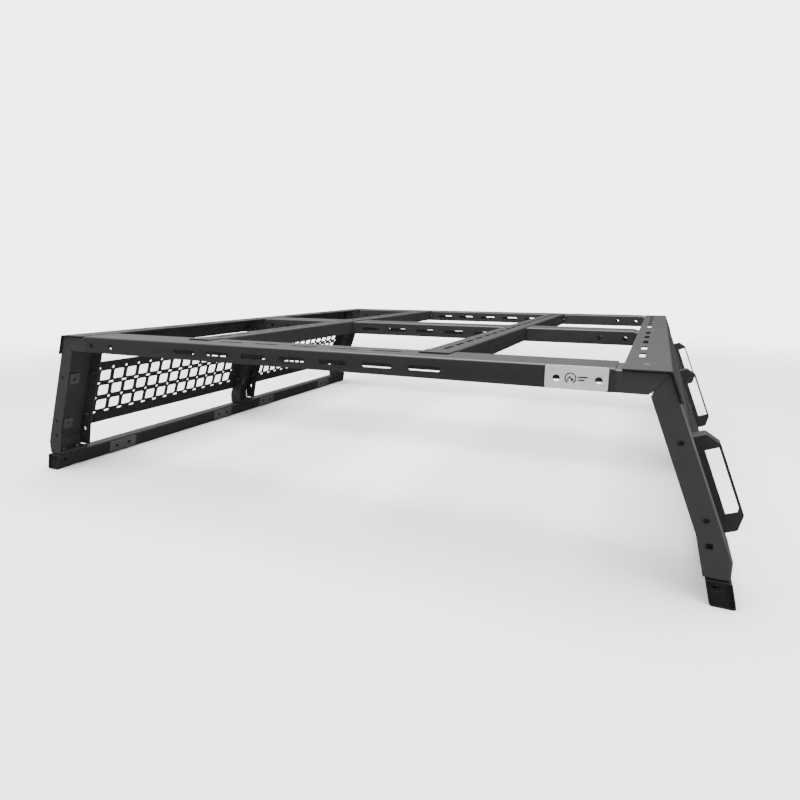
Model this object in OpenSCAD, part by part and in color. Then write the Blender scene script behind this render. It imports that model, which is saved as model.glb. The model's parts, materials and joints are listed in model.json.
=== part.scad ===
// Bolted sheet-steel overland rack for a pickup truck's bed.
// X runs across the truck, Y along the bed, Z is up.
// The origin is the middle of the underside of the two base rails.

/* [Overall] */
// Width across the top corners
top_w = 1404; // [1300:1:1500]
// Length of the rack along the bed
rack_l = 1547; // [1480:1:1620]
// Height of the deck plates' upper face above the underside of the base rails
deck_h = 372; // [360:1:400]
// Outward lean of the side posts, in degrees
lean = 21.2; // [18:0.1:23]

/* [Sheet metal] */
// Thickness of the folded channels and plates
sheet = 2.5; // [2:0.5:4]
// Inner radius of the folds
fold_r = 1.5; // [1:0.5:3]
// Width of the three hoops along the bed
hoop_w = 95; // [85:1:105]
// Depth of the folded flanges of beams and bars
flange = 39.5; // [36:0.5:42]
// Depth of the folded flanges of the posts
post_depth = 38.7; // [34:0.1:39]

/* [Cross beams] */
// Distance from the middle to each end of a cross beam
beam_end = 619; // [600:1:640]
// Distance between the centres of neighbouring slots
slot_pitch = 97.4; // [90:0.1:100]
// Length of a slot
slot_l = 63.5; // [50:0.5:70]
// Width of a slot
slot_w = 9.5; // [8:0.5:11]
// Depth of the line of slots and holes below a beam's top
hole_z = 22; // [20:0.5:24]
// Distance from the middle to the inner hole of each outer pair
pair_x = 529; // [520:1:535]
// Distance between the two holes of a pair
pair_pitch = 67; // [60:1:70]
// Diameter of the paired holes
pair_d = 12; // [10:0.5:13]

/* [Deck rails] */
// Width of a side rail's top plate
deck_w = 73; // [66:1:78]
// Depth of a side rail's outer flange, along the lean
skirt = 52; // [46:1:56]
// Length of the tie-down slots along a side rail
tie_l = 64; // [50:1:66]
// Width of the tie-down slots
tie_w = 11; // [9:1:13]
// Distance between the centres of the tie-down slots
tie_pitch = 125; // [115:1:127]
// Shift of each bay's row of tie-down slots along the bed
tie_shift = 32; // [0:1:36]
// Width of a lengthwise bar
bar_w = 62; // [56:1:66]
// Distance from the middle to the centre of each lengthwise bar
bar_x = 292; // [280:1:300]
// Length of a slot in a lengthwise bar
bar_slot = 55; // [45:1:58]

/* [Side panels] */
// Thickness of the pierced panels
mesh_t = 2.5; // [2:0.5:3]
// Distance between the pierced columns
col_pitch = 43.85; // [42:0.05:45]
// Distance between the pierced rows, along the lean
row_pitch = 47.2; // [46:0.1:48]
// Number of pierced columns
cols = 13; // [11:1:13]
// Width of a pierced window
win_w = 33; // [28:1:35]
// Height of a pierced window
win_h = 32; // [28:1:34]

/* [Base rails] */
// Height of a base rail
rail_h = 43; // [40:1:46]
// Width of a base rail's top face
rail_w = 38.5; // [36:0.5:42]
// Outward shift of a base rail's underside
rail_shift = 10; // [6:1:12]
// Distance from the middle to the inner edge of a base rail's top face
rail_x = 777.5; // [774:0.5:781]

/* [Outer brackets] */
// Depth of a bracket along the bed
bracket_y = 32; // [26:1:36]
// Reach of a bracket out from the side plane
bracket_out = 32; // [28:1:40]
// Width of the lip along the post inside a bracket's window
bracket_lip = 10; // [6:1:13]

/* [Hidden] */
$fn = 48;
cl = cos(lean);
sl = sin(lean);
tl = tan(lean);
half_l = rack_l / 2;
half_w = top_w / 2;
badge_t = 1.5;
end_y = half_l - hoop_w / 2 - badge_t; // centre of an end hoop
HOOPS = [-end_y, 0, end_y];           // centres of the near, middle and far hoops
post_w = hoop_w - 2 * sheet;          // a post nests inside the beam's flanges
stub_x = beam_end - 60;               // inner end of a post's top stub
post_in = post_depth + sheet;         // depth of a post's inner edge from the side plane
fold_out = fold_r + sheet;            // outer radius of the folds
rail_top = rail_h - deck_h;           // base rail's top face, below the deck
post_foot = rail_top + 3;             // lower end of the posts' flanges
kink_out = rail_top + 34;             // where the post's back turns upright
kink_in = rail_top + 71;              // where the post's inner edge bends
foot_x = 774;                         // inner lower corner of a post's flange
foot_bolt_x = 795;                    // bolts through a post's foot
slit_w = 2.5;                         // slit that frees a post's far flange from its upright back
slit_gap = 5;                         // how much shorter than the near flange it is
bolt_n = 20.7;                        // bolt line, in from the side plane
bolt_s = [112, 241.5];                // bolt rows, down the lean
lock_s = 283;                         // square hole below the bolts, down the lean
lock_n = 28;                          // square hole, in from the side plane
drain_s = 286;                        // round-ended hole in the far flange, down the lean
drain_n = 24;                         // the same hole, in from the side plane
lock_w = 10.5;
tab_s = [128.5, 265.5];               // nut plates behind the posts' backs, down the lean
tab_w = 27;
tab_h = 31;
tab_t = 4;
panel_s0 = 91.5;                      // panel's upper edge, down the lean
panel_s1 = 289;                       // panel's lower edge, down the lean
row_s = 136;                          // first pierced row, down the lean
bay_l = end_y - post_w;               // clear length between neighbouring posts
plate_y = [-566.5, -129.5, 129.5, 566.5];
plate_l = 92;
plate_h = 33;
plate_t = 3;
plate_pitch = 42;
plate_hole = 9;
bar_lap = 54;                         // bar's end, in from the rack's end
screw_d = 6;
screw_head = 12;
bolt_d = 8;
bolt_head = 14;
bolt_head_h = 4.5;
nut_af = 13;
nut_h = 6.5;
bracket_t = 4;
badge_l = 100;
post_x = beam_end - 22;               // top screws that fix a beam to a stub
skirt_x = half_w - 39;                // top screw that fixes a side rail to a stub
skirt_y = 14;                         // its place along the bed from the hoop's line
skirt_d = 8;
skirt_head = 15;

graphite = [0.20, 0.20, 0.21];
satin_black = [0.13, 0.13, 0.14];
charcoal = [0.27, 0.27, 0.28];
steel = [0.55, 0.55, 0.57];
brushed = [0.72, 0.72, 0.73];

// ---- placing ------------------------------------------------------------

// Puts a flat drawing in X and Z, with its thickness along +Y from y0
module in_xz(y0, depth) {
    translate([0, y0 + depth, 0])
        rotate([90, 0, 0])
            linear_extrude(depth)
                children();
}

// Puts a flat drawing in Y and Z, with its thickness along +X from x0
module in_yz(x0, depth) {
    translate([x0, 0, 0])
        rotate([90, 0, 90])
            linear_extrude(depth)
                children();
}

// Raises a shape drawn below the deck's upper face to its place
module at_deck() {
    translate([0, 0, deck_h])
        children();
}

// side = 1 is the right side, side = -1 the left
module on_side(side) {
    if (side > 0)
        children();
    else
        mirror([1, 0, 0])
            children();
}

// Frame of the leaning side plane: +X out of it, -Z down the lean
module lean_frame() {
    translate([half_w, 0, 0])
        rotate([0, -lean, 0])
            children();
}

// X of the line that lies n inside the side plane, at height z below the deck
function side_x(z, n) = half_w - z * tl - n / cl;

// Point of the side plane's frame, s down the lean and n inside
function side_pt(s, n) = [half_w + s * sl - n * cl, -s * cl - n * sl];

// ---- rounded paths ------------------------------------------------------

function unit(v) = v / norm(v);

// Points of an arc of radius r that rounds corner b of the path a, b, c
function corner(a, b, c, r, n = 6) =
    r == 0 ? [b] :
    let (
        u = unit(a - b),
        v = unit(c - b),
        half = acos(u * v) / 2,
        mid = b + unit(u + v) * r / sin(half),
        start = b + u * r / tan(half) - mid,
        end = b + v * r / tan(half) - mid,
        turn = (cross(start, end) > 0 ? 1 : -1) * (180 - 2 * half) / n)
    [for (i = [0 : n])
        mid + [
            start[0] * cos(i * turn) - start[1] * sin(i * turn),
            start[0] * sin(i * turn) + start[1] * cos(i * turn)]];

// The closed path with a radius at each of its corners
function rounded(path, radii) =
    let (n = len(path))
    [for (i = [0 : n - 1])
        each corner(path[(i + n - 1) % n], path[i], path[(i + 1) % n], radii[i])];

// Section of a folded channel of width w, its web's outer face at the top
module channel_2d(w, top, depth) {
    x = w / 2;
    polygon(rounded([
        [-x, top - depth],
        [-x, top],
        [x, top],
        [x, top - depth],
        [x - sheet, top - depth],
        [x - sheet, top - sheet],
        [-x + sheet, top - sheet],
        [-x + sheet, top - depth]],
        [0, fold_out, fold_out, 0, 0, fold_r, fold_r, 0]));
}

// What a fold's radius takes off a square edge that lies on the Z axis
module fold_cut(length) {
    linear_extrude(length)
        polygon(concat(
            [[fold_out, 1], [-1, 1], [-1, -fold_out]],
            corner([0, -fold_out], [0, 0], [fold_out, 0], fold_out)));
}

// ---- small shapes -------------------------------------------------------

// Slot with round ends along X, in a flat drawing
module slot_2d(l, w) {
    square([l - w, w], center = true);
    for (x = [-1, 1])
        translate([x * (l - w) / 2, 0])
            circle(d = w);
}

// Rectangle with round corners, in a flat drawing
module round_rect_2d(l, w, r) {
    square([l - 2 * r, w], center = true);
    square([l, w - 2 * r], center = true);
    for (x = [-1, 1], y = [-1, 1])
        translate([x * (l / 2 - r), y * (w / 2 - r)])
            circle(r);
}

// Countersunk hole through a plate whose upper face is at z = 0
module sunk_hole(d = screw_d, head = screw_head) {
    translate([0, 0, -sheet])
        cylinder(h = sheet, d1 = d + 0.6, d2 = head);
    translate([0, 0, 0])
        cylinder(h = 1, d = head);
    translate([0, 0, -3 * sheet])
        cylinder(h = 3 * sheet, d = d + 0.6);
}

// Countersunk screw with its nut, head set_in below z = 0, through two sheets
module sunk_screw(d = screw_d, head = screw_head, set_in = 0) {
    difference() {
        union() {
            translate([0, 0, -sheet])
                cylinder(h = sheet - set_in, d1 = d + 0.2, d2 = head - 0.4 - (head - d) * set_in / sheet);
            translate([0, 0, -3 * d])
                cylinder(h = 3 * d - 2, d = d);
            translate([0, 0, -2 * sheet - 0.8 * d])
                cylinder(h = 0.8 * d, d = 1.8 * d / cos(30), $fn = 6);
        }
        translate([0, 0, -1.6 - set_in / 2])
            cylinder(h = 3, d = 0.7 * d / cos(30), $fn = 6);
    }
}

// Button bolt with washer and nut along X, head outside x = 0, through grip
module button_bolt(grip) {
    washer_t = 1.6;
    difference() {
        rotate([0, 90, 0])
            union() {
                cylinder(h = washer_t, d = 17);
                translate([0, 0, washer_t])
                    cylinder(h = bolt_head_h, d1 = bolt_head, d2 = bolt_head * 0.62);
                translate([0, 0, -grip - washer_t - nut_h - 4])
                    cylinder(h = grip + nut_h + 7, d = bolt_d);
                translate([0, 0, -grip - washer_t])
                    cylinder(h = washer_t, d = 17);
                translate([0, 0, -grip - washer_t - nut_h])
                    cylinder(h = nut_h, d = nut_af / cos(30), $fn = 6);
            }
        translate([washer_t + bolt_head_h - 2.5, 0, 0])
            rotate([0, 90, 0])
                cylinder(h = 4, d = 5 / cos(30), $fn = 6);
    }
}

// ---- cross beams --------------------------------------------------------

// Holes in a beam's flange: the slots in the middle and a pair at each end
module beam_flange_holes_2d() {
    for (i = [-3 : 3])
        translate([i * slot_pitch, -hole_z])
            slot_2d(slot_l, slot_w);
    for (side = [-1, 1], k = [0, 1])
        translate([side * (pair_x + k * pair_pitch), -hole_z])
            circle(d = pair_d);
}

// A channel open downwards, its web on top, centred on the hoop's line
module beam(y) {
    translate([0, y, 0])
        at_deck()
            difference() {
                in_yz(-beam_end, 2 * beam_end)
                    channel_2d(hoop_w, 0, flange);
                in_xz(-hoop_w, 2 * hoop_w)
                    beam_flange_holes_2d();
                for (i = [-3 : 3])
                    translate([i * slot_pitch, 0, -sheet - 1])
                        linear_extrude(sheet + 2)
                            slot_2d(slot_l, slot_w);
                for (x = [-1, 1], k = [-1, 1])
                    translate([x * post_x, k * 24, 0])
                        sunk_hole();
                for (x = [-1, 1], k = [-1, 1])
                    translate([x * bar_x + k * 20, y < 0 ? 24 : y > 0 ? -24 : 0, 0])
                        translate([0, 0, -sheet - 1])
                            cylinder(h = sheet + 2, d = screw_d + 0.6);
            }
}

module beam_near() {
    color(graphite)
        beam(HOOPS[0]);
}

module beam_middle() {
    color(graphite)
        beam(HOOPS[1]);
}

module beam_far() {
    color(graphite)
        beam(HOOPS[2]);
}

// ---- posts --------------------------------------------------------------

// Outline of an elbow, seen along the bed: stub, lean and foot
module elbow_2d() {
    polygon(rounded([
        [stub_x, -sheet],
        [side_x(-sheet, sheet), -sheet],
        [side_x(kink_out, sheet), kink_out],
        [side_x(kink_out, sheet), post_foot],
        [foot_x, post_foot],
        [side_x(kink_in, post_in), kink_in],
        [side_x(-flange, post_in), -flange],
        [stub_x, -flange]],
        [0, fold_out, 8, 0, 0, 0, 0, 0]));
}

// Inner hollow of the elbow, one sheet inside its back
module elbow_hollow_2d() {
    polygon([
        [stub_x - 1, -2 * sheet],
        [side_x(-2 * sheet, 2 * sheet), -2 * sheet],
        [side_x(kink_out, 2 * sheet), kink_out + sheet * tl / 2],
        [side_x(kink_out, sheet) - sheet, kink_out],
        [side_x(kink_out, sheet) - sheet, post_foot - 1],
        [foot_x - 60, post_foot - 1],
        [stub_x - 1, -flange - 60]]);
}

// Relief and hairline of the mitre where the flanges were notched and folded
module mitre_2d() {
    inner = [side_x(-flange, post_in), -flange];
    outer = [side_x(-2 * sheet, 2 * sheet), -2 * sheet];
    run = outer - inner;
    translate(inner + run * 0.02)
        circle(2.2);
    translate(inner)
        rotate(atan2(run[1], run[0]))
            translate([0, -0.4])
                square([norm(run), 0.8]);
}

// Bolt holes in a post's flange, in the side plane's frame
module post_bolt_holes_2d() {
    for (s = bolt_s)
        translate(side_pt(s, bolt_n))
            circle(d = 9.6);
}

// Radii along the edges where a post's flanges fold away from its back
module post_fold_cuts() {
    run = -kink_out / cl;
    for (k = [0, 1])
        mirror([0, k, 0]) {
            translate([stub_x - 1, post_w / 2, -sheet])
                rotate([90, 0, 90])
                    mirror([1, 0, 0])
                        fold_cut(side_x(0, 0) - stub_x + 20);
            lean_frame()
                translate([-sheet, post_w / 2, -run - 20])
                    mirror([1, 0, 0])
                        fold_cut(run + 40);
            translate([side_x(kink_out, sheet), post_w / 2, post_foot - 1])
                mirror([1, 0, 0])
                    fold_cut(kink_out - post_foot + 21);
        }
}

// Slit between a post's upright back and its far flange, and the gap below that flange
module far_flange_cut() {
    back = side_x(kink_out, sheet) - sheet;
    translate([back - slit_w, post_w / 2 - sheet, post_foot - 1])
        cube([slit_w, 2 * sheet, kink_out - post_foot + 4]);
    translate([foot_x - 2, post_w / 2 - sheet, post_foot - 1])
        cube([back - foot_x + 2, 2 * sheet, slit_gap + 1]);
}

module post(y, side) {
    translate([0, y, 0])
        at_deck()
            on_side(side)
                difference() {
                    union() {
                        in_xz(-post_w / 2, post_w)
                            elbow_2d();
                        translate([foot_x + 5, -post_w / 2 + 8, rail_top])
                            cube([side_x(kink_out, sheet) - foot_x - 5, post_w - 16, 6]);
                    }
                    difference() {
                        in_xz(-post_w / 2 + sheet, post_w - 2 * sheet)
                            elbow_hollow_2d();
                        translate([foot_x - 70, -post_w, rail_top])
                            cube([200, 2 * post_w, 6]);
                    }
                    post_fold_cuts();
                    for (k = [-1, 1])
                        in_xz(k * (post_w - sheet) / 2 - sheet, 2 * sheet)
                            mitre_2d();
                    in_xz(-post_w, 2 * post_w)
                        post_bolt_holes_2d();
                    in_xz(-post_w, post_w)
                        translate(side_pt(lock_s, lock_n))
                            square(lock_w, center = true);
                    in_xz(1, post_w)
                        translate(side_pt(drain_s, drain_n))
                            rotate(90)
                                slot_2d(11, 6);
                    far_flange_cut();
                    lean_frame()
                        for (s = tab_s)
                            translate([-3 * sheet, 0, -s])
                                rotate([0, 90, 0])
                                    cylinder(h = 4 * sheet, d = bolt_d + 0.6);
                    in_xz(-post_w, 2 * post_w)
                        for (k = [0, 1])
                            translate([pair_x + k * pair_pitch, -hole_z])
                                circle(d = pair_d);
                    for (k = [-1, 1])
                        translate([post_x, k * 24, -3 * sheet])
                            cylinder(h = 4 * sheet, d = screw_d + 0.6);
                    translate([skirt_x, skirt_y, -3 * sheet])
                        cylinder(h = 4 * sheet, d = skirt_d + 0.6);
                    for (k = [-1, 1])
                        translate([foot_bolt_x, k * 20, rail_top - 1])
                            cylinder(h = 9, d = bolt_d + 0.6);
                }
}

module post_near_left() {
    color(graphite)
        post(HOOPS[0], -1);
}

module post_near_right() {
    color(graphite)
        post(HOOPS[0], 1);
}

module post_middle_left() {
    color(graphite)
        post(HOOPS[1], -1);
}

module post_middle_right() {
    color(graphite)
        post(HOOPS[1], 1);
}

module post_far_left() {
    color(graphite)
        post(HOOPS[2], -1);
}

module post_far_right() {
    color(graphite)
        post(HOOPS[2], 1);
}

// ---- side rails ---------------------------------------------------------

module side_rail(side) {
    low = side_pt(skirt, 0);
    low_in = side_pt(skirt, sheet);
    color(charcoal)
        at_deck()
            on_side(side)
                difference() {
                    in_xz(-half_l, rack_l)
                        polygon(rounded([
                            [half_w - deck_w, 0],
                            [half_w, 0],
                            low,
                            low_in,
                            [side_x(-sheet, sheet), -sheet],
                            [half_w - deck_w, -sheet]],
                            [0, fold_out, 0, 0, fold_r, 0]));
                    for (y = tie_y())
                        translate([half_w - 48.5, y, -sheet - 1])
                            linear_extrude(sheet + 2)
                                round_rect_2d(tie_w, tie_l, 4);
                    for (y = HOOPS)
                        translate([skirt_x, y + skirt_y, 0])
                            sunk_hole(skirt_d, skirt_head);
                }
}

// Centres of the tie-down slots along the bed, five in each bay
function tie_y() = [for (bay = [-1, 1], i = [-2 : 2])
    bay * end_y / 2 + tie_shift + i * tie_pitch];

module side_rail_left() {
    side_rail(-1);
}

module side_rail_right() {
    side_rail(1);
}

// ---- base rails ---------------------------------------------------------

// Base rail's section, shrunk inwards by t, with a larger radius at its lower inner corner
module rail_2d(t, r, low_r) {
    slant = atan2(rail_shift, rail_h);
    top = rail_top - t;
    low = -deck_h + t;
    in_top = rail_x + t / cos(slant) + t * tan(slant);
    in_low = in_top + (top - low) * tan(slant);
    width = rail_w - 2 * t / cos(slant);
    polygon(rounded([
        [in_top, top],
        [in_top + width, top],
        [in_low + width, low],
        [in_low, low]],
        [r, r, r, low_r]));
}

module base_rail(side) {
    color(satin_black)
        at_deck()
            on_side(side)
                difference() {
                    in_xz(-half_l, rack_l)
                        rail_2d(0, fold_out, 7);
                    in_xz(-half_l - 1, rack_l + 2)
                        rail_2d(sheet, fold_r, 7 - sheet);
                    for (y = HOOPS, k = [-1, 1])
                        translate([foot_bolt_x, y + k * 20, rail_top - sheet - 1])
                            cylinder(h = sheet + 2, d = bolt_d + 0.6);
                    for (y = plate_y, k = [-1, 1])
                        translate([rail_x - 5, y + k * plate_pitch / 2, rail_top - rail_h / 2])
                            rotate([0, 90, 0])
                                cylinder(h = 18, d = plate_hole);
                    for (k = [-1, 1])
                        translate([rail_x - 5, k * (half_l - 22), rail_top - 18])
                            rotate([0, 90, 0])
                                cylinder(h = 18, d = plate_hole);
                    for (k = [-1, 1])
                        translate([rail_x + 26, k * (half_l - 52), -deck_h - 1])
                            linear_extrude(sheet + 2)
                                slot_2d(14, 30);
                }
}

module base_rail_left() {
    base_rail(-1);
}

module base_rail_right() {
    base_rail(1);
}

// Plate that closes a base rail's end, set back inside the tube, with a slot
module end_plate(end, side) {
    set_back = 4;
    plate = 2.5;
    color(satin_black)
        at_deck()
            on_side(side)
                in_xz(end > 0 ? half_l - set_back - plate : -half_l + set_back, plate)
                    difference() {
                        rail_2d(sheet, fold_r, 7 - sheet);
                        translate([rail_x + 18, rail_top - 12.5])
                            rotate(-4)
                                slot_2d(12, 4.5);
                    }
}

module end_plate_near_left() {
    end_plate(-1, -1);
}

module end_plate_near_right() {
    end_plate(-1, 1);
}

module end_plate_far_left() {
    end_plate(1, -1);
}

module end_plate_far_right() {
    end_plate(1, 1);
}

// ---- lengthwise bars ----------------------------------------------------

// A channel open downwards; its web laps over the beams, its flanges stop short
module bar(side) {
    lap_l = rack_l - 2 * bar_lap;
    folded_l = end_y - hoop_w - 2;
    mid_lap = end_y - folded_l;
    end_lap = (lap_l - end_y - folded_l) / 2;
    count = floor((lap_l - 2 * 60) / 70.7 / 2);
    color(charcoal)
        translate([side * bar_x, 0, deck_h])
            difference() {
                union() {
                    translate([-bar_w / 2 + fold_out, -lap_l / 2, 0])
                        cube([bar_w - 2 * fold_out, lap_l, sheet]);
                    for (bay = [-1, 1])
                        in_xz(bay * end_y / 2 - folded_l / 2, folded_l)
                            channel_2d(bar_w, sheet, flange);
                    for (y = [[-lap_l / 2, end_lap], [-mid_lap / 2, mid_lap], [lap_l / 2 - end_lap, end_lap]])
                        translate([-bar_w / 2, y[0], 0])
                            cube([bar_w, y[1], sheet]);
                }
                for (i = [-count : count])
                    translate([0, i * 70.7, -1])
                        linear_extrude(sheet + 2)
                            slot_2d_y(bar_slot, 8.5);
                for (y = bar_screw_y(), k = [-1, 1])
                    translate([k * 20, y, sheet])
                        sunk_hole();
            }
}

// The same slot, along Y
module slot_2d_y(l, w) {
    rotate(90)
        slot_2d(l, w);
}

// Where the bars are screwed to the beams
function bar_screw_y() = [-end_y + 24, 0, end_y - 24];

module bar_left() {
    bar(-1);
}

module bar_right() {
    bar(1);
}

// ---- side panels --------------------------------------------------------

// Pierced pattern, centred on the panel's length, rows down the lean
module piercing_2d() {
    for (c = [0 : cols - 1], r = [0 : 2])
        translate([(c - (cols - 1) / 2) * col_pitch, -row_s - r * row_pitch])
            round_rect_2d(win_w, win_h, 5.5);
    for (c = [0 : cols], r = [0.5, 2.5])
        translate([(c - cols / 2) * col_pitch, -row_s - r * row_pitch])
            slot_2d(17, 7);
    for (c = [0 : cols], r = [-0.5, 1.5])
        translate([(c - cols / 2) * col_pitch, -row_s - r * row_pitch])
            circle(d = 8.5);
}

// End flange, folded inwards, with its lower corner cut back
module panel_flange_2d() {
    difference() {
        polygon([
            side_pt(panel_s0, sheet),
            side_pt(panel_s1, sheet),
            side_pt(panel_s1 - 30, post_in - 2),
            side_pt(panel_s0, post_in - 2)]);
        post_bolt_holes_2d();
    }
}

module panel(bay, side) {
    color(graphite)
        translate([0, bay * end_y / 2, 0])
            at_deck()
                on_side(side) {
                    lean_frame()
                        in_yz(-sheet - mesh_t, mesh_t)
                            difference() {
                                translate([-bay_l / 2, -panel_s1])
                                    square([bay_l, panel_s1 - panel_s0]);
                                piercing_2d();
                            }
                    in_xz(-bay_l / 2, mesh_t)
                        panel_flange_2d();
                    in_xz(bay_l / 2 - mesh_t, mesh_t)
                        panel_flange_2d();
                }
}

module panel_near_left() {
    panel(-1, -1);
}

module panel_near_right() {
    panel(-1, 1);
}

module panel_far_left() {
    panel(1, -1);
}

module panel_far_right() {
    panel(1, 1);
}

// ---- outer brackets -----------------------------------------------------

// Bracket's outline seen along the bed, X out of the side plane, Y up the lean
module bracket_2d(t, r) {
    back = -sheet + t;
    polygon(rounded([
        [back, -114.5 - t],
        [bracket_out - 15.5, -114.5 - t],
        [bracket_out - t, -136 - 0.4 * t],
        [bracket_out - t, -254 + 0.4 * t],
        [bracket_out - 15.5, -277 + t],
        [back, -277 + t]],
        [0, r, r, r, r, 0]));
}

module bracket(y) {
    front = y - bracket_y / 2;
    color(satin_black)
        at_deck()
            lean_frame()
                difference() {
                    union() {
                        in_xz(front, bracket_y)
                            difference() {
                                bracket_2d(0, 5);
                                bracket_2d(bracket_t, 1);
                            }
                        in_xz(front, sheet)
                            difference() {
                                bracket_2d(0, 5);
                                translate([bracket_lip - sheet, -247])
                                    square([bracket_out, 108]);
                            }
                    }
                    for (s = tab_s)
                        translate([-2 * sheet, y, -s])
                            rotate([0, 90, 0])
                                cylinder(h = 3 * sheet, d = bolt_d + 0.6);
                }
}

module bracket_near() {
    bracket(HOOPS[0]);
}

module bracket_middle() {
    bracket(HOOPS[1]);
}

module bracket_far() {
    bracket(HOOPS[2]);
}

// ---- badge --------------------------------------------------------------

module badge_plate() {
    color(brushed)
        at_deck()
            in_xz(-half_l, badge_t)
                difference() {
                    translate([pair_x + pair_pitch / 2 - 2, -flange / 2])
                        round_rect_2d(badge_l, flange - 0.5, 4);
                    for (k = [0, 1])
                        translate([pair_x + k * pair_pitch, -hole_z])
                            circle(d = pair_d);
                }
}

// ---- clamp plates and nut plates ----------------------------------------

// Two-hole plate welded to the inner face of a base rail
module clamp_plate(i, side) {
    slant = atan2(rail_shift, rail_h);
    color(steel)
        at_deck()
            on_side(side)
                difference() {
                    translate([rail_x + rail_shift / 2, plate_y[i], rail_top - rail_h / 2])
                        rotate([0, -slant, 0])
                            translate([-plate_t, -plate_l / 2, -plate_h / 2])
                                cube([plate_t, plate_l, plate_h]);
                    for (k = [-1, 1])
                        translate([rail_x - 8, plate_y[i] + k * plate_pitch / 2, rail_top - rail_h / 2])
                            rotate([0, 90, 0])
                                cylinder(h = 20, d = plate_hole);
                }
}

module clamp_plate_left_1() {
    clamp_plate(0, -1);
}

module clamp_plate_left_2() {
    clamp_plate(1, -1);
}

module clamp_plate_left_3() {
    clamp_plate(2, -1);
}

module clamp_plate_left_4() {
    clamp_plate(3, -1);
}

module clamp_plate_right_1() {
    clamp_plate(0, 1);
}

module clamp_plate_right_2() {
    clamp_plate(1, 1);
}

module clamp_plate_right_3() {
    clamp_plate(2, 1);
}

module clamp_plate_right_4() {
    clamp_plate(3, 1);
}

// Two nut plates behind the back of each post
module nut_plates(side) {
    color(steel)
        at_deck()
            on_side(side)
                lean_frame()
                    for (y = HOOPS, s = tab_s)
                        translate([-2 * sheet - tab_t, y, -s])
                            in_yz(0, tab_t)
                                difference() {
                                    round_rect_2d(tab_w, tab_h, 2);
                                    circle(d = bolt_d + 0.6);
                                }
}

module nut_plates_left() {
    nut_plates(-1);
}

module nut_plates_right() {
    nut_plates(1);
}

// Push-in plugs that close the left posts' unused threads from outside
module hole_plugs_left() {
    color(satin_black)
        at_deck()
            on_side(-1)
                lean_frame()
                    for (y = HOOPS, s = tab_s)
                        translate([-sheet, y, -s])
                            rotate([0, 90, 0])
                                hole_plug();
}

// Plug with a thin domed head, along Z
module hole_plug() {
    translate([0, 0, -sheet - tab_t / 2])
        cylinder(h = sheet + tab_t / 2 + 0.5, d = bolt_d);
    cylinder(h = 1, d = 15);
    translate([0, 0, 1])
        cylinder(h = 1.2, d1 = 15, d2 = 9);
}

// ---- fasteners ----------------------------------------------------------

// Bolts that hold a panel's two end flanges to the posts
module panel_bolts(bay, side) {
    color(steel)
        translate([0, bay * end_y / 2, 0])
            at_deck()
                on_side(side)
                    for (k = [-1, 1], s = bolt_s) {
                        at = side_pt(s, bolt_n);
                        translate([at[0], k * (bay_l / 2 + sheet), at[1]])
                            rotate([0, 0, k * 90])
                                button_bolt(sheet + mesh_t);
                    }
}

module panel_bolts_near_left() {
    panel_bolts(-1, -1);
}

module panel_bolts_near_right() {
    panel_bolts(-1, 1);
}

module panel_bolts_far_left() {
    panel_bolts(1, -1);
}

module panel_bolts_far_right() {
    panel_bolts(1, 1);
}

// Bolts that hold the posts' feet to a base rail
module foot_bolts(side) {
    color(steel)
        at_deck()
            on_side(side)
                for (y = HOOPS, k = [-1, 1])
                    translate([foot_bolt_x, y + k * 20, rail_top + 6])
                        rotate([0, -90, 0])
                            button_bolt(6 + sheet);
}

module foot_bolts_left() {
    foot_bolts(-1);
}

module foot_bolts_right() {
    foot_bolts(1);
}

// Flush screws that hold a side rail to the posts' stubs
module side_rail_screws(side) {
    color(satin_black)
        at_deck()
            for (y = HOOPS)
                translate([side * skirt_x, y + skirt_y, 0])
                    sunk_screw(skirt_d, skirt_head, 1);
}

module side_rail_screws_left() {
    side_rail_screws(-1);
}

module side_rail_screws_right() {
    side_rail_screws(1);
}

// Flush screws that hold a cross beam to the posts' stubs
module beam_screws(y) {
    color(satin_black)
        at_deck()
            for (x = [-1, 1], k = [-1, 1])
                translate([x * post_x, y + k * 24, 0])
                    sunk_screw();
}

module beam_screws_near() {
    beam_screws(HOOPS[0]);
}

module beam_screws_middle() {
    beam_screws(HOOPS[1]);
}

module beam_screws_far() {
    beam_screws(HOOPS[2]);
}

// Flush screws that hold a lengthwise bar to the three beams
module bar_screws(side) {
    color(satin_black)
        at_deck()
            for (y = bar_screw_y(), k = [-1, 1])
                translate([side * bar_x + k * 20, y, sheet])
                    sunk_screw();
}

module bar_screws_left() {
    bar_screws(-1);
}

module bar_screws_right() {
    bar_screws(1);
}

// Bolts that hold a bracket through the post's back to its nut plates
module bracket_bolts(y) {
    color(steel)
        at_deck()
            lean_frame()
                for (s = tab_s)
                    translate([-sheet + bracket_t, y, -s])
                        bracket_bolt();
}

// Button bolt along X without a nut, because the nut plate is threaded
module bracket_bolt() {
    reach = bracket_t + sheet + tab_t + 3;
    difference() {
        rotate([0, 90, 0])
            union() {
                cylinder(h = bolt_head_h, d1 = bolt_head, d2 = bolt_head * 0.62);
                translate([0, 0, -reach])
                    cylinder(h = reach + 1, d = bolt_d);
            }
        translate([bolt_head_h - 2.5, 0, 0])
            rotate([0, 90, 0])
                cylinder(h = 4, d = 5 / cos(30), $fn = 6);
    }
}

module bracket_bolts_near() {
    bracket_bolts(HOOPS[0]);
}

module bracket_bolts_middle() {
    bracket_bolts(HOOPS[1]);
}

module bracket_bolts_far() {
    bracket_bolts(HOOPS[2]);
}

// ---- nodes --------------------------------------------------------------

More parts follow.
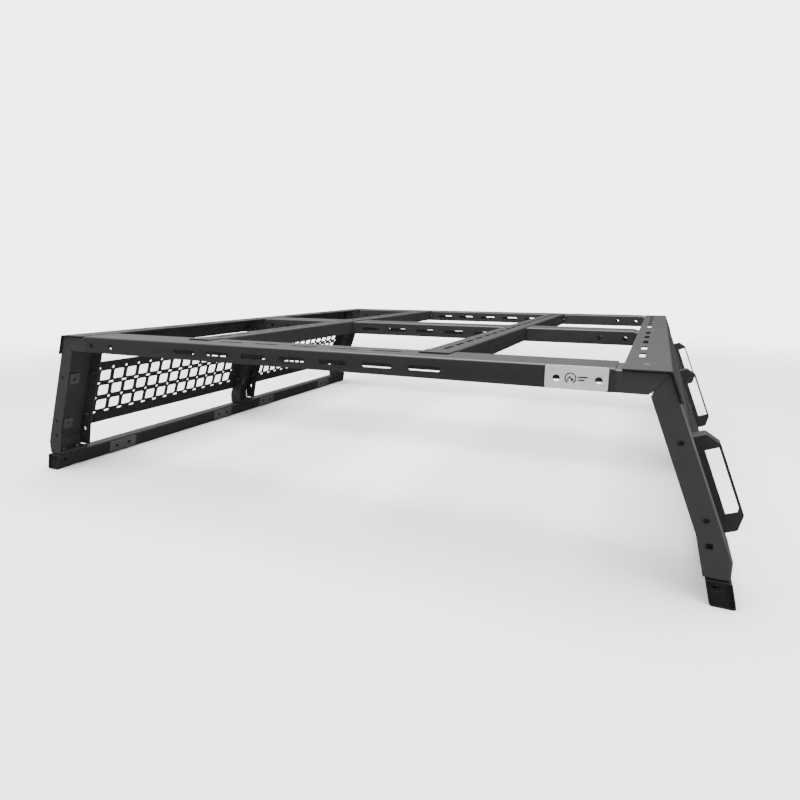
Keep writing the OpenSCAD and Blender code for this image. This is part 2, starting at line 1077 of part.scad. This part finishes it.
beam_near();
beam_middle();
beam_far();
post_near_left();
post_near_right();
post_middle_left();
post_middle_right();
post_far_left();
post_far_right();
side_rail_left();
side_rail_right();
base_rail_left();
base_rail_right();
end_plate_near_left();
end_plate_near_right();
end_plate_far_left();
end_plate_far_right();
bar_left();
bar_right();
panel_near_left();
panel_near_right();
panel_far_left();
panel_far_right();
bracket_near();
bracket_middle();
bracket_far();
badge_plate();
clamp_plate_left_1();
clamp_plate_left_2();
clamp_plate_left_3();
clamp_plate_left_4();
clamp_plate_right_1();
clamp_plate_right_2();
clamp_plate_right_3();
clamp_plate_right_4();
nut_plates_left();
nut_plates_right();
hole_plugs_left();
panel_bolts_near_left();
panel_bolts_near_right();
panel_bolts_far_left();
panel_bolts_far_right();
foot_bolts_left();
foot_bolts_right();
side_rail_screws_left();
side_rail_screws_right();
beam_screws_near();
beam_screws_middle();
beam_screws_far();
bar_screws_left();
bar_screws_right();
bracket_bolts_near();
bracket_bolts_middle();
bracket_bolts_far();
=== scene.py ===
import json
import math

import bmesh
import bpy
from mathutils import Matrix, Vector


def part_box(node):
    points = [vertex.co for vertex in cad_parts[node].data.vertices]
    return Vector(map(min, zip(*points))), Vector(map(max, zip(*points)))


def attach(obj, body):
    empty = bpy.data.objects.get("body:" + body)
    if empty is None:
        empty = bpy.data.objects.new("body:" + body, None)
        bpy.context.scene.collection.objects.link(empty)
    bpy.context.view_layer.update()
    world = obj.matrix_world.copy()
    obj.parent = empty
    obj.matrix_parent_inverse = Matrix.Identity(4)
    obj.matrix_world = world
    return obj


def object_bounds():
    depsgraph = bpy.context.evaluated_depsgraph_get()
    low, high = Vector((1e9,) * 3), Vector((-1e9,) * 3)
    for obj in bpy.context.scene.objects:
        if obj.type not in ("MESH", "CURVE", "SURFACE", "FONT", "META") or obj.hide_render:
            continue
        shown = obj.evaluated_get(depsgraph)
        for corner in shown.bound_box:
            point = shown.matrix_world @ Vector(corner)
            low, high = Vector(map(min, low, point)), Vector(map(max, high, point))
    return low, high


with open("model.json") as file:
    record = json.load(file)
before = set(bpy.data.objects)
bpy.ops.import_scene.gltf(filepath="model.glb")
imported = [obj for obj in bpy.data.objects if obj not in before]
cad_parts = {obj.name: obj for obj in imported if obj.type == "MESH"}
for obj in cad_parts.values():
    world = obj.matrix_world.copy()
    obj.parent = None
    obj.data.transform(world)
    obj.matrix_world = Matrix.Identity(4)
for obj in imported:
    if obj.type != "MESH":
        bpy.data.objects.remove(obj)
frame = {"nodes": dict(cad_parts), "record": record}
cad_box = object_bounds()

# Sizes are in metres, powers in watts and angles in degrees unless a name says otherwise.
SHEET_EDGE = 0.0007
FINE_EDGE = 0.0004
WELD_WITHIN = 0.00002
FLAT_BELOW = 0.6
ROUND_ABOVE = 40
SMOOTH_BELOW = 32
FLOOR_RADIUS = 14.0
FLOOR_GAP = 0.0005
FLOOR_FADE = (1.3, 4.6)
# Strengths of the world: what the camera sees, then the room that lights the rack.
BACKDROP = 4.6
ROOM_TOP = 1.6
ROOM_HORIZON = 0.03
ROOM_LEFT = 0.45
ROOM_RIGHT = 0.5
CAMERA_PLACE = (0.6732, -1.7093, 0.507)
CAMERA_DOWN = 12.04
CAMERA_TURN = 24.57
CAMERA_LENS_MM = 25.14
LIGHTS = {
    "key": {"location": (0.0, -0.4, 3.2), "target": (0, 0, 0), "size": (3.0, 3.0), "power": 400},
    "fill": {"location": (3.4, -1.3, 0.9), "target": (-0.4, 0, 0.2), "size": (2.0, 1.6), "power": 65},
}

# ---- materials ----------------------------------------------------------


def node_tree(name):
    """A new material with its nodes, links and shader."""
    mat = bpy.data.materials.new(name)
    mat.use_nodes = True
    tree = mat.node_tree
    return mat, tree.nodes, tree.links, tree.nodes["Principled BSDF"]


def object_noise(nodes, links, scale, detail=4.0, stretch=(1.0, 1.0, 1.0)):
    """Noise in the object's own coordinates, in metres, stretched along an axis if asked."""
    coords = nodes.new("ShaderNodeTexCoord")
    mapping = nodes.new("ShaderNodeMapping")
    mapping.inputs["Scale"].default_value = stretch
    links.new(coords.outputs["Object"], mapping.inputs["Vector"])
    noise = nodes.new("ShaderNodeTexNoise")
    noise.inputs["Scale"].default_value = scale
    noise.inputs["Detail"].default_value = detail
    links.new(mapping.outputs["Vector"], noise.inputs["Vector"])
    return noise.outputs["Fac"]


def ramp(nodes, links, source, stops):
    """Maps a grey value onto greys at (position, grey) stops."""
    ramp_node = nodes.new("ShaderNodeValToRGB")
    elements = ramp_node.color_ramp.elements
    while len(elements) < len(stops):
        elements.new(0.5)
    for element, (position, grey) in zip(elements, stops):
        element.position = position
        element.color = (grey, grey, grey, 1)
    links.new(source, ramp_node.inputs["Fac"])
    return ramp_node.outputs["Color"]


def bump(nodes, links, source, strength, distance, under=None):
    """A bump node fed by a grey value, laid over another normal if one is given."""
    node = nodes.new("ShaderNodeBump")
    node.inputs["Strength"].default_value = strength
    node.inputs["Distance"].default_value = distance
    links.new(source, node.inputs["Height"])
    if under is not None:
        links.new(under, node.inputs["Normal"])
    return node.outputs["Normal"]


def mix_colour(nodes, links, factor, first, second):
    """Mixes two colours by a grey factor; each is a socket or a grey."""
    mix = nodes.new("ShaderNodeMix")
    mix.data_type = "RGBA"
    links.new(factor, mix.inputs["Factor"])
    for value, socket in ((first, mix.inputs[6]), (second, mix.inputs[7])):
        if isinstance(value, float):
            socket.default_value = (value, value, value, 1)
        else:
            links.new(value, socket)
    return mix.outputs[2]


def powder_coat(name, grey, rough=0.46, peel=0.18):
    """Satin powder coat: fine orange peel, a slight mottle, worn corners lightened also as a painted
    edge highlight, and dust in the grain.
    """
    mat, nodes, links, shader = node_tree(name)
    mottle = object_noise(nodes, links, 7.0, 5.0)
    coat = ramp(nodes, links, mottle, [(0.3, grey * 0.93), (0.7, grey * 1.07)])
    # Convex edges are lightened towards grey * 2.4: partly wear, partly a painted edge highlight.
    edges = nodes.new("ShaderNodeNewGeometry").outputs["Pointiness"]
    rubbed = ramp(nodes, links, edges, [(0.54, 0.0), (0.66, 0.45)])
    coat = mix_colour(nodes, links, rubbed, coat, grey * 2.4)
    specks = object_noise(nodes, links, 420.0, 2.0)
    dusty = ramp(nodes, links, specks, [(0.66, 0.0), (0.74, 0.30)])
    links.new(mix_colour(nodes, links, dusty, coat, grey * 1.9), shader.inputs["Base Color"])
    patches = object_noise(nodes, links, 18.0, 3.0)
    gloss = ramp(nodes, links, patches, [(0.3, rough - 0.02), (0.7, rough + 0.03)])
    links.new(gloss, shader.inputs["Roughness"])
    skin = object_noise(nodes, links, 750.0, 2.0)
    grit = object_noise(nodes, links, 2400.0, 1.0)
    normal = bump(nodes, links, skin, peel, 0.0005)
    normal = bump(nodes, links, grit, peel * 0.6, 0.0002, normal)
    links.new(normal, shader.inputs["Normal"])
    shader.inputs["Metallic"].default_value = 0.0
    shader.inputs["IOR"].default_value = 1.5
    return mat


def brushed_steel(name):
    """Brushed stainless plate: long fine scratches along X."""
    mat, nodes, links, shader = node_tree(name)
    scratches = object_noise(nodes, links, 45.0, 8.0, stretch=(1.0, 60.0, 60.0))
    links.new(ramp(nodes, links, scratches, [(0.3, 0.72), (0.7, 0.88)]), shader.inputs["Base Color"])
    links.new(ramp(nodes, links, scratches, [(0.3, 0.34), (0.7, 0.52)]), shader.inputs["Roughness"])
    links.new(bump(nodes, links, scratches, 0.15, 0.0002), shader.inputs["Normal"])
    shader.inputs["Metallic"].default_value = 0.6
    return mat


def blackened_steel(name, grey):
    """Black-oxide fasteners: rubbed lighter in patches, with a fine machined grain."""
    mat, nodes, links, shader = node_tree(name)
    rubbed = object_noise(nodes, links, 90.0, 4.0)
    shade = ramp(nodes, links, rubbed, [(0.35, grey * 0.8), (0.75, grey * 1.6)])
    links.new(shade, shader.inputs["Base Color"])
    links.new(ramp(nodes, links, rubbed, [(0.3, 0.46), (0.7, 0.6)]), shader.inputs["Roughness"])
    grain = object_noise(nodes, links, 1500.0, 2.0)
    links.new(bump(nodes, links, grain, 0.2, 0.0002), shader.inputs["Normal"])
    shader.inputs["Metallic"].default_value = 0.15
    return mat


def dark_ink(name):
    """Black ink of the badge's raised mark, a little uneven."""
    mat, nodes, links, shader = node_tree(name)
    fill = object_noise(nodes, links, 300.0, 3.0)
    links.new(ramp(nodes, links, fill, [(0.3, 0.012), (0.7, 0.03)]), shader.inputs["Base Color"])
    links.new(ramp(nodes, links, fill, [(0.3, 0.45), (0.7, 0.6)]), shader.inputs["Roughness"])
    links.new(bump(nodes, links, fill, 0.2, 0.0001), shader.inputs["Normal"])
    return mat


# The deck, panel and rail coats are the same black powder coat as the frame coat, made darker as
# painted shade; the rail coat is darker for the unlit end plates of the base rails.
FINISHES = {
    "frame_coat": powder_coat("frame coat", 0.014),
    "deck_coat": powder_coat("deck coat darkened as painted shade", 0.011),
    "panel_coat": powder_coat("panel coat darkened as painted shade", 0.008),
    "rail_coat": powder_coat("rail coat darkened as painted shade", 0.008),
    "bracket_coat": powder_coat("bracket coat", 0.014),
    "brushed_badge": brushed_steel("brushed badge"),
    "plate_finish": powder_coat("plate coat", 0.04),
    "fastener_finish": blackened_steel("blackened steel", 0.02),
}


def dress_nodes():
    """Gives each CAD node the finish of its slot."""
    slots = {part["node"]: part["material_slot"] for part in frame["record"]["subparts"]}
    for name, obj in frame["nodes"].items():
        obj.data.materials.clear()
        obj.data.materials.append(FINISHES[slots[name]])


# ---- edges --------------------------------------------------------------


def smooth_by_angle(limit):
    """A node group that shades smooth except across edges sharper than the limit, in radians."""
    group = bpy.data.node_groups.new("smooth below limit", "GeometryNodeTree")
    group.interface.new_socket("Geometry", in_out="INPUT", socket_type="NodeSocketGeometry")
    group.interface.new_socket("Geometry", in_out="OUTPUT", socket_type="NodeSocketGeometry")
    nodes, links = group.nodes, group.links
    start, end = nodes.new("NodeGroupInput"), nodes.new("NodeGroupOutput")
    faces, edges = nodes.new("GeometryNodeSetShadeSmooth"), nodes.new("GeometryNodeSetShadeSmooth")
    faces.domain, edges.domain = "FACE", "EDGE"
    angle = nodes.new("GeometryNodeInputMeshEdgeAngle")
    below = nodes.new("FunctionNodeCompare")
    below.data_type, below.operation = "FLOAT", "LESS_THAN"
    below.inputs[1].default_value = limit
    links.new(angle.outputs[0], below.inputs[0])
    links.new(start.outputs[0], faces.inputs["Geometry"])
    links.new(faces.outputs[0], edges.inputs["Geometry"])
    links.new(below.outputs[0], edges.inputs["Shade Smooth"])
    links.new(edges.outputs[0], end.inputs[0])
    return group


SMOOTH = smooth_by_angle(math.radians(SMOOTH_BELOW))


def soften(obj, width, segments=2):
    """Merges the mesh's flat faces, rounds its sharp edges and smooths the rest."""
    weld = obj.modifiers.new("weld", "WELD")
    weld.merge_threshold = WELD_WITHIN
    flat = obj.modifiers.new("flat faces", "DECIMATE")
    flat.decimate_type = "DISSOLVE"
    flat.angle_limit = math.radians(FLAT_BELOW)
    bevel = obj.modifiers.new("rounded edges", "BEVEL")
    bevel.width = width
    bevel.segments = segments
    bevel.limit_method = "ANGLE"
    bevel.angle_limit = math.radians(ROUND_ABOVE)
    bevel.use_clamp_overlap = True
    smooth = obj.modifiers.new("smooth", "NODES")
    smooth.node_group = SMOOTH
    weighted = obj.modifiers.new("flat faces stay flat", "WEIGHTED_NORMAL")
    weighted.keep_sharp = True


def soften_nodes():
    """Fasteners and the badge get finer edges than the rest."""
    for name, obj in frame["nodes"].items():
        small = "bolts" in name or "screws" in name or name == "badge_plate"
        soften(obj, FINE_EDGE if small else SHEET_EDGE)


# ---- badge mark ---------------------------------------------------------


def slab(name, outlines, y_front, depth, finish):
    """Thin flat shapes in the plane that faces -Y, cut from closed outlines in X and Z."""
    mesh = bpy.data.meshes.new(name)
    bm = bmesh.new()
    for outline in outlines:
        front = [bm.verts.new((x, y_front, z)) for x, z in outline]
        back = [bm.verts.new((x, y_front + depth, z)) for x, z in outline]
        bm.faces.new(front)
        bm.faces.new(back[::-1])
        for i in range(len(outline)):
            j = (i + 1) % len(outline)
            bm.faces.new((front[j], front[i], back[i], back[j]))
    bmesh.ops.recalc_face_normals(bm, faces=bm.faces)
    bm.to_mesh(mesh)
    bm.free()
    obj = bpy.data.objects.new(name, mesh)
    bpy.context.scene.collection.objects.link(obj)
    obj.data.materials.append(finish)
    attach(obj, "root")
    return obj


def ring_part(centre, r_out, r_in, start, end, steps=24):
    """Outline of a part of a flat ring, angles in degrees."""
    angles = [math.radians(start + (end - start) * i / steps) for i in range(steps + 1)]
    outer = [(centre[0] + r_out * math.cos(a), centre[1] + r_out * math.sin(a)) for a in angles]
    inner = [(centre[0] + r_in * math.cos(a), centre[1] + r_in * math.sin(a)) for a in angles]
    return outer + inner[::-1]


def peak(x, z, half, height, stroke):
    """Outline of a chevron, point upwards, with the middle of its foot at x and z."""
    slope = height / half
    drop = stroke * math.sqrt(1 + slope * slope)
    run = drop / slope
    return [(x - half, z), (x, z + height), (x + half, z),
            (x + half - run, z), (x, z + height - drop), (x - half + run, z)]


def add_badge_mark():
    """A plain trail mark: two peaks in an open ring, and two bars beside it."""
    proud, depth = 0.00025, 0.0005
    ring_outer, ring_inner = 0.0094, 0.0076
    ring_from, ring_to = -60, 240  # the ring is open at the bottom
    big_half, big_height, big_stroke = 0.0054, 0.0084, 0.0018
    small_half, small_height, small_stroke = 0.0032, 0.0052, 0.0015
    bar_lengths, bar_height, bar_pitch = (0.0150, 0.0105), 0.0022, 0.0048
    lo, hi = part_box("badge_plate")
    cx, cz = (lo.x + hi.x) / 2, (lo.z + hi.z) / 2 - 0.001
    ring_x, foot_z, bar_x = cx - 0.0085, cz - 0.0042, cx + 0.0035
    outlines = [
        ring_part((ring_x, cz), ring_outer, ring_inner, ring_from, ring_to),
        peak(ring_x - 0.0012, foot_z, big_half, big_height, big_stroke),
        peak(ring_x + 0.0032, foot_z, small_half, small_height, small_stroke),
    ]
    for row, length in enumerate(bar_lengths):
        z = cz + 0.0014 - row * bar_pitch
        end = bar_x + length
        outlines.append([(bar_x, z), (end, z), (end, z + bar_height), (bar_x, z + bar_height)])
    slab("badge_mark", outlines, lo.y - proud, depth, dark_ink("dark ink"))


# ---- stage --------------------------------------------------------------


def add_floor():
    """A pale round floor that fades out far from the rack, so that no horizon shows."""
    mesh = bpy.data.meshes.new("floor")
    bm = bmesh.new()
    bmesh.ops.create_circle(bm, cap_ends=True, radius=FLOOR_RADIUS, segments=96)
    bm.to_mesh(mesh)
    bm.free()
    floor = bpy.data.objects.new("floor", mesh)
    floor.location.z = cad_box[0][2] - FLOOR_GAP
    mat, nodes, links, shader = node_tree("pale floor")
    grain = object_noise(nodes, links, 3.0, 3.0)
    links.new(ramp(nodes, links, grain, [(0.3, 0.80), (0.7, 0.82)]), shader.inputs["Base Color"])
    links.new(ramp(nodes, links, grain, [(0.3, 0.85), (0.7, 0.9)]), shader.inputs["Roughness"])
    shader.inputs["Specular IOR Level"].default_value = 0.0
    coords = nodes.new("ShaderNodeTexCoord")
    length = nodes.new("ShaderNodeVectorMath")
    length.operation = "LENGTH"
    links.new(coords.outputs["Object"], length.inputs[0])
    fade = nodes.new("ShaderNodeMapRange")
    fade.interpolation_type = "SMOOTHSTEP"
    fade.inputs["From Min"].default_value = FLOOR_FADE[0]
    fade.inputs["From Max"].default_value = FLOOR_FADE[1]
    links.new(length.outputs["Value"], fade.inputs["Value"])
    clear = nodes.new("ShaderNodeBsdfTransparent")
    mix = nodes.new("ShaderNodeMixShader")
    links.new(fade.outputs["Result"], mix.inputs["Fac"])
    links.new(shader.outputs["BSDF"], mix.inputs[1])
    links.new(clear.outputs["BSDF"], mix.inputs[2])
    links.new(mix.outputs["Shader"], nodes["Material Output"].inputs["Surface"])
    floor.data.materials.append(mat)
    floor.visible_glossy = False  # its reflection would grey the dark coats
    bpy.context.scene.collection.objects.link(floor)


def add_area(name, location, target, size, power):
    """A rectangular soft light aimed at a target."""
    light = bpy.data.lights.new(name, "AREA")
    light.shape = "RECTANGLE"
    light.size, light.size_y = size
    light.energy = power
    obj = bpy.data.objects.new(name, light)
    obj.location = location
    obj.rotation_euler = (Vector(target) - Vector(location)).to_track_quat("-Z", "Y").to_euler()
    bpy.context.scene.collection.objects.link(obj)


def add_world():
    """White to the camera; to the rack a soft room, bright overhead, dimmer at both sides."""
    world = bpy.data.worlds.new("studio")
    world.use_nodes = True
    nodes, links = world.node_tree.nodes, world.node_tree.links
    coords = nodes.new("ShaderNodeTexCoord")
    axes = nodes.new("ShaderNodeSeparateXYZ")
    links.new(coords.outputs["Generated"], axes.inputs["Vector"])

    def glow(axis, start, end, dim, peak):
        """Strength that goes from dim to peak as a direction's axis goes from start to end."""
        spread = nodes.new("ShaderNodeMapRange")
        spread.interpolation_type = "SMOOTHSTEP"
        spread.inputs["From Min"].default_value = start
        spread.inputs["From Max"].default_value = end
        spread.inputs["To Min"].default_value = dim
        spread.inputs["To Max"].default_value = peak
        links.new(axes.outputs[axis], spread.inputs["Value"])
        return spread.outputs["Result"]

    def combine(operation, first, second):
        """Adds or multiplies two strengths."""
        node = nodes.new("ShaderNodeMath")
        node.operation = operation
        links.new(first, node.inputs[0])
        links.new(second, node.inputs[1])
        return node.outputs[0]

    sky = glow("Z", 0.10, 0.85, 0.0, ROOM_TOP)
    horizon = glow("Z", -0.30, 0.10, 0.0, ROOM_HORIZON)
    left = glow("X", -0.10, -0.85, 0.0, ROOM_LEFT)
    right = glow("X", 0.30, 0.95, 0.0, ROOM_RIGHT)
    sides = combine("MULTIPLY", combine("ADD", left, right), glow("Z", -0.45, -0.05, 0.0, 1.0))
    room = combine("ADD", combine("ADD", sky, horizon), sides)
    seen = nodes.new("ShaderNodeLightPath").outputs["Is Camera Ray"]
    mix = nodes.new("ShaderNodeMix")
    mix.data_type = "FLOAT"
    links.new(seen, mix.inputs[0])
    links.new(room, mix.inputs[2])
    mix.inputs[3].default_value = BACKDROP
    back = nodes["Background"]
    back.inputs["Color"].default_value = (1, 1, 1, 1)
    links.new(mix.outputs[0], back.inputs["Strength"])
    bpy.context.scene.world = world


def add_camera():
    """The eye stands off the near right corner, a little above the deck."""
    cam = bpy.data.cameras.new("camera")
    cam.sensor_width = 36.0
    cam.lens = CAMERA_LENS_MM
    obj = bpy.data.objects.new("camera", cam)
    obj.location = CAMERA_PLACE
    obj.rotation_euler = (math.radians(90 - CAMERA_DOWN), 0, math.radians(CAMERA_TURN))
    bpy.context.scene.collection.objects.link(obj)
    bpy.context.scene.camera = obj


dress_nodes()
soften_nodes()
add_badge_mark()
add_floor()
add_world()
for light_name, light_values in LIGHTS.items():
    add_area(light_name, **light_values)
add_camera()
